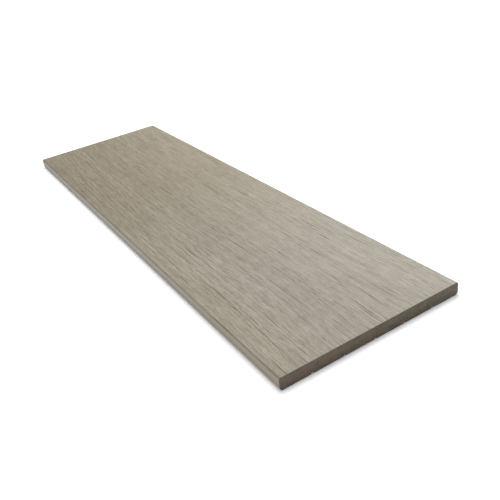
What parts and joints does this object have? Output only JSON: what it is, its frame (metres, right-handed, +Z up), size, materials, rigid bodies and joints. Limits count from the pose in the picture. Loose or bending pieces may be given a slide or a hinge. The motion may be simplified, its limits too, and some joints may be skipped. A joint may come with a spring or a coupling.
{
  "type": "composite trim board",
  "caption": "Flat composite trim board with a wood-grain show face, eased long edges, square-cut ends and relief grooves along its back.",
  "frame": {"origin": "middle of the board's back, on the surface that it lies on", "axes": "+X along the board's length, +Y across its width, +Z up out of its show face"},
  "size_m": [0.615, 0.18, 0.012],
  "materials": {
    "composite": "matte"
  },
  "bodies": {
    "root": {"trim_board": "composite"}
  },
  "joints": []
}
